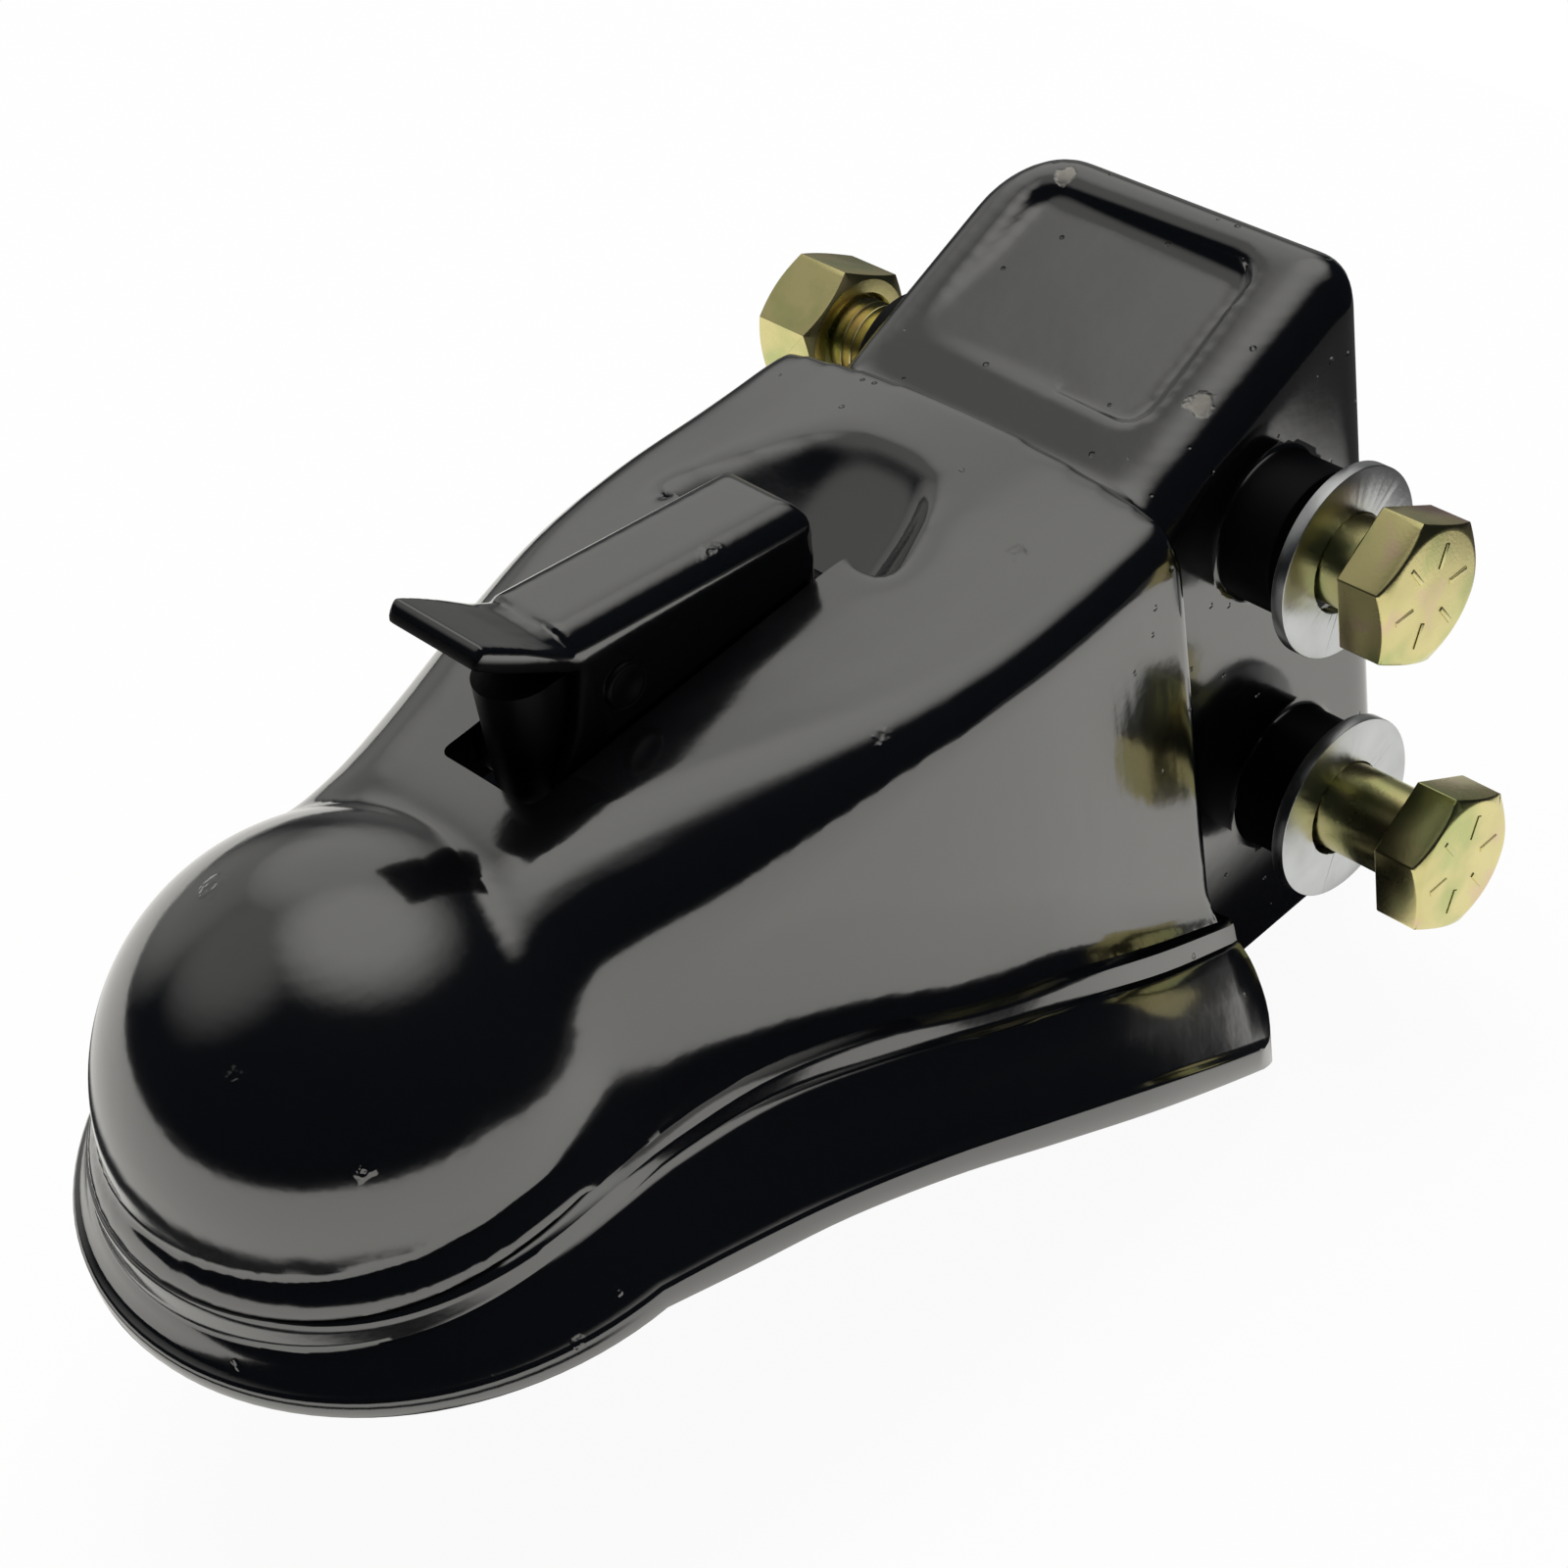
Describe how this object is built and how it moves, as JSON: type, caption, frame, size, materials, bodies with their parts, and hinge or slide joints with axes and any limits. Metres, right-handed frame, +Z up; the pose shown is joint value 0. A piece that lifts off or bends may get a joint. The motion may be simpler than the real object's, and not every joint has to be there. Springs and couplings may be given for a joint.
{
  "type": "trailer coupling head",
  "caption": "Cast trailer coupling head with a domed ball socket, a folding latch lever in a slot on top and a rear box with cross bolts for the tongue channel.",
  "frame": {"origin": "centre of the coupling ball in the socket", "axes": "+X across, to the side of the bolt heads; +Y to the rear, towards the trailer; +Z up"},
  "size_m": [0.148, 0.2437, 0.1379],
  "materials": {
    "body_paint": "gloss black paint over a casting, slightly uneven",
    "latch_paint": "gloss black paint over folded sheet",
    "jaw_iron": "plain casting",
    "zinc_yellow": "yellow zinc plate",
    "zinc_clear": "clear zinc plate"
  },
  "bodies": {
    "coupler": {"body": "body_paint", "bolt_upper": "zinc_yellow", "bolt_lower": "zinc_yellow", "washer_upper": "zinc_clear", "washer_lower": "zinc_clear", "nut_upper": "zinc_yellow", "nut_lower": "zinc_yellow"},
    "latch": {"latch_post": "latch_paint", "ball_jaw": "jaw_iron", "jaw_spring": "zinc_clear", "spring_washer": "zinc_clear", "stem_nut": "zinc_clear"},
    "lever": {"lever": "latch_paint", "pivot_pin": "latch_paint"}
  },
  "joints": [
    {"name": "latch_slide", "type": "slide", "parent": "coupler", "child": "latch", "axis": [0, 1, 0], "range_m": [0, 0.0075]},
    {"name": "lever_hinge", "type": "hinge", "parent": "latch", "child": "lever", "pos_m": [0, 0.055, 0.0444], "axis": [-1, 0, 0], "range_deg": [0, 60]}
  ]
}
